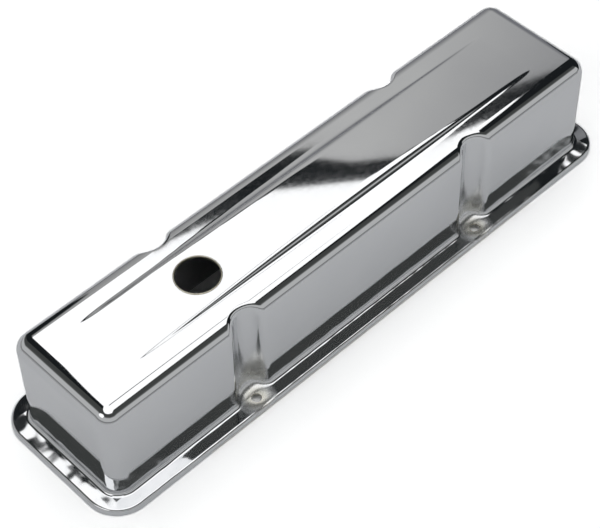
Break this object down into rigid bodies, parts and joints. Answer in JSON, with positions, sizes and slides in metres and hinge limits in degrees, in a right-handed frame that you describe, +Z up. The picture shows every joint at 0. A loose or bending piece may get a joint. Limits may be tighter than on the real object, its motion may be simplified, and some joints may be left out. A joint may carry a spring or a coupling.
{
  "type": "engine valve cover",
  "caption": "Deep drawn chrome plated steel valve cover with a flanged rim, bolt scallops in its sides, a breather hole and a raised top panel between two creases",
  "frame": {"origin": "middle of the rim, in the plane of the rim's lower edge on which the cover stands", "axes": "+Z up through the top of the cover, +X along the cover away from the breather hole, +Y across it"},
  "size_m": [0.457, 0.1162, 0.0865],
  "materials": {
    "chrome_plated_steel": "mirror bright decorative chrome plating on pressed sheet steel, inside and out"
  },
  "bodies": {
    "root": {"valve_cover": "chrome_plated_steel"}
  },
  "joints": []
}
